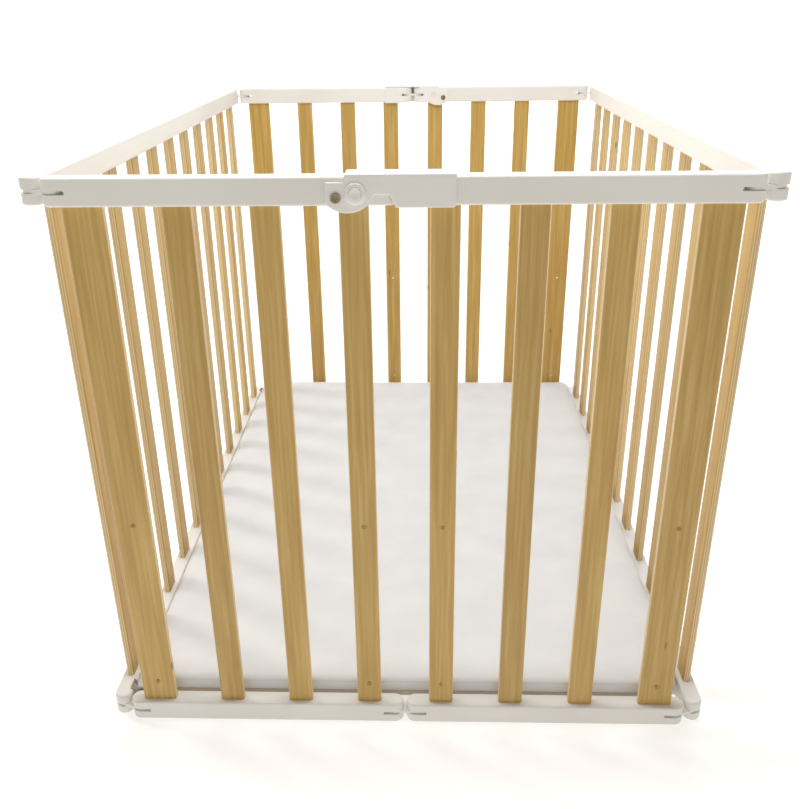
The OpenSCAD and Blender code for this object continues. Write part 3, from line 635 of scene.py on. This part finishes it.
# air pressure swells the cover against the held underside, and the foam lets it rise only so far
def swell(obj, low):
    start = vertexArray(obj.data)
    held = obj.vertex_groups.new(name="held")
    heldTo = (low.z + padding["heldMm"]) * mm
    held.add([i for i, point in enumerate(start) if point[2] < heldTo], 1.0, "REPLACE")
    cloth = obj.modifiers.new("cover", "CLOTH")
    cloth.settings.quality = padding["quality"]
    cloth.settings.mass = padding["clothMass"]
    cloth.settings.tension_stiffness = padding["stiffness"]
    cloth.settings.compression_stiffness = padding["stiffness"]
    cloth.settings.bending_stiffness = padding["bending"]
    cloth.settings.use_pressure = True
    cloth.settings.uniform_pressure_force = padding["pressure"]
    cloth.settings.vertex_group_mass = "held"
    cloth.settings.effector_weights.gravity = 0
    cloth.point_cache.frame_start = 1
    cloth.point_cache.frame_end = padding["frames"]
    for step in range(1, padding["frames"] + 1):
        bpy.context.scene.frame_set(step)
    settle(obj)
    bpy.context.scene.frame_set(1)
    end = vertexArray(obj.data)
    cap = padding["crownMm"] * mm
    move = end - start
    size = np.linalg.norm(move, axis=1, keepdims=True) + 1e-12
    move = move / size * cap * np.tanh(size / cap)
    move[:, :2] *= padding["sideways"]
    obj.data.vertices.foreach_set("co", (start + move).ravel())
    print("  crown", round(float(move[:, 2].max() / mm), 2), "mm")


# foam that is a little uneven, and a seam drawn in around the sides
def sewPadding(obj, low, high):
    soft = obj.modifiers.new("soft", "SUBSURF")
    soft.levels = soft.render_levels = 1
    settle(obj)
    points = vertexArray(obj.data)
    seamZ = (high.z - padding["seamDropMm"]) * mm
    for i, point in enumerate(points):
        if point[2] > (low.z + padding["unevenFromMm"]) * mm:
            wave = noise.noise(Vector((point[0] * padding["unevenPerM"], point[1] * padding["unevenPerM"],
                                       padding["seed"])))
            grown = min(1.0, (point[2] / mm - low.z) / padding["unevenFullMm"])
            points[i, 2] += padding["unevenMm"] * mm * wave * grown
        edgeX = min(point[0] - low.x * mm, high.x * mm - point[0])
        edgeY = min(point[1] - low.y * mm, high.y * mm - point[1])
        if min(edgeX, edgeY) < padding["seamReachMm"] * mm:
            offSeam = (point[2] - seamZ) / (padding["seamHalfMm"] * mm)
            pull = padding["seamDepthMm"] * mm * math.exp(-offSeam ** 2)
            inward = Vector((-point[0], -point[1], 0)).normalized()
            if edgeX < edgeY:
                points[i, 0] += math.copysign(pull, inward.x)
            else:
                points[i, 1] += math.copysign(pull, inward.y)
    obj.data.vertices.foreach_set("co", points.ravel())
    obj.data.update()


pad, padLow, padHigh = paddingForm()
swell(pad, padLow)
sewPadding(pad, padLow, padHigh)
shadeByAngle(pad.data, padding["smoothDegrees"])
pad.data.materials.clear()
pad.data.materials.append(cotton)
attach(pad, "floor")
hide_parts("floor_padding")

print("studio")

# degrees for the camera's turns, metres for the rest
studio = {"cameraPlace": (0.024754, -1.320982, 0.833121), "heading": 1.959, "tilt": 66.234,
          "roll": -0.756, "lens": 38.004, "sensor": 36.0, "shift": (0.00783, -0.02623), "nearest": 0.05,
          "paper": "#F7F7F6", "paperRoughness": 0.85, "paperHalf": 9, "riseAt": 5, "riseTo": 6,
          "floorGlow": 0.45, "backdropGlow": 0.9, "world": "#FFF7EC", "worldStrength": 0.37}

softboxes = {
    "overhead": {"place": (0.05, 0.0, 2.6), "aim": (0.0, 0.02, 0), "size": (1.1, 0.9),
                 "watts": 9, "colour": "#F0F5FF"},
    "inner": {"place": (0.0, -0.40, 1.4), "aim": (0, 0.5, 0.25), "size": (0.8, 0.12),
              "watts": 6.5, "colour": "#F8FAFF"},
    "leftWindow": {"place": (-2.4, 0.9, 1.9), "aim": (0, 0, 0.2), "size": (0.5, 0.5),
                   "watts": 20, "colour": "#FFF9F0"}}


def makeCamera():
    data = bpy.data.cameras.new("camera")
    data.lens = studio["lens"]
    data.sensor_width = studio["sensor"]
    data.shift_x, data.shift_y = studio["shift"]
    data.clip_start = studio["nearest"]
    camera = newObject("camera", data)
    turn = (Matrix.Rotation(math.radians(studio["heading"]), 4, "Z")
            @ Matrix.Rotation(math.radians(studio["tilt"]), 4, "X")
            @ Matrix.Rotation(math.radians(studio["roll"]), 4, "Z"))
    camera.matrix_world = Matrix.Translation(studio["cameraPlace"]) @ turn
    bpy.context.scene.camera = camera


def softbox(name, place, aim, size, watts, colour):
    data = bpy.data.lights.new(name, "AREA")
    data.shape = "RECTANGLE"
    data.size, data.size_y = size
    data.energy = watts
    data.color = linearColour(colour)[:3]
    lamp = newObject(name, data)
    lamp.location = place
    lamp.rotation_euler = (Vector(aim) - Vector(place)).to_track_quat("-Z", "Y").to_euler()


# a sheet of pale paper: one lies under the pen and one rises behind it
def paperSheet(name, corners, glow):
    sheet = bmesh.new()
    sheet.faces.new([sheet.verts.new(corner) for corner in corners])
    mesh = bpy.data.meshes.new(name)
    sheet.to_mesh(mesh)
    sheet.free()
    paper = newObject(name, mesh)
    mesh.materials.append(newMaterial(name, {
        "Base Color": linearColour(studio["paper"]), "Roughness": studio["paperRoughness"],
        "Emission Color": (1, 1, 1, 1), "Emission Strength": glow})[0])


makeCamera()
half, riseAt, riseTo = studio["paperHalf"], studio["riseAt"], studio["riseTo"]
paperSheet("studioFloor", [(-half, -half, 0), (half, -half, 0), (half, riseAt, 0), (-half, riseAt, 0)],
           studio["floorGlow"])
paperSheet("studioBackdrop", [(-half, riseAt, 0), (half, riseAt, 0), (half, riseAt, riseTo),
                              (-half, riseAt, riseTo)], studio["backdropGlow"])
for name, lamp in softboxes.items():
    softbox(name, **lamp)
world = bpy.data.worlds.new("studioWorld")
world.use_nodes = True
background = world.node_tree.nodes["Background"].inputs
background["Color"].default_value = linearColour(studio["world"])
background["Strength"].default_value = studio["worldStrength"]
bpy.context.scene.world = world
bpy.context.scene.view_settings.view_transform = "Standard"

print("finishing")
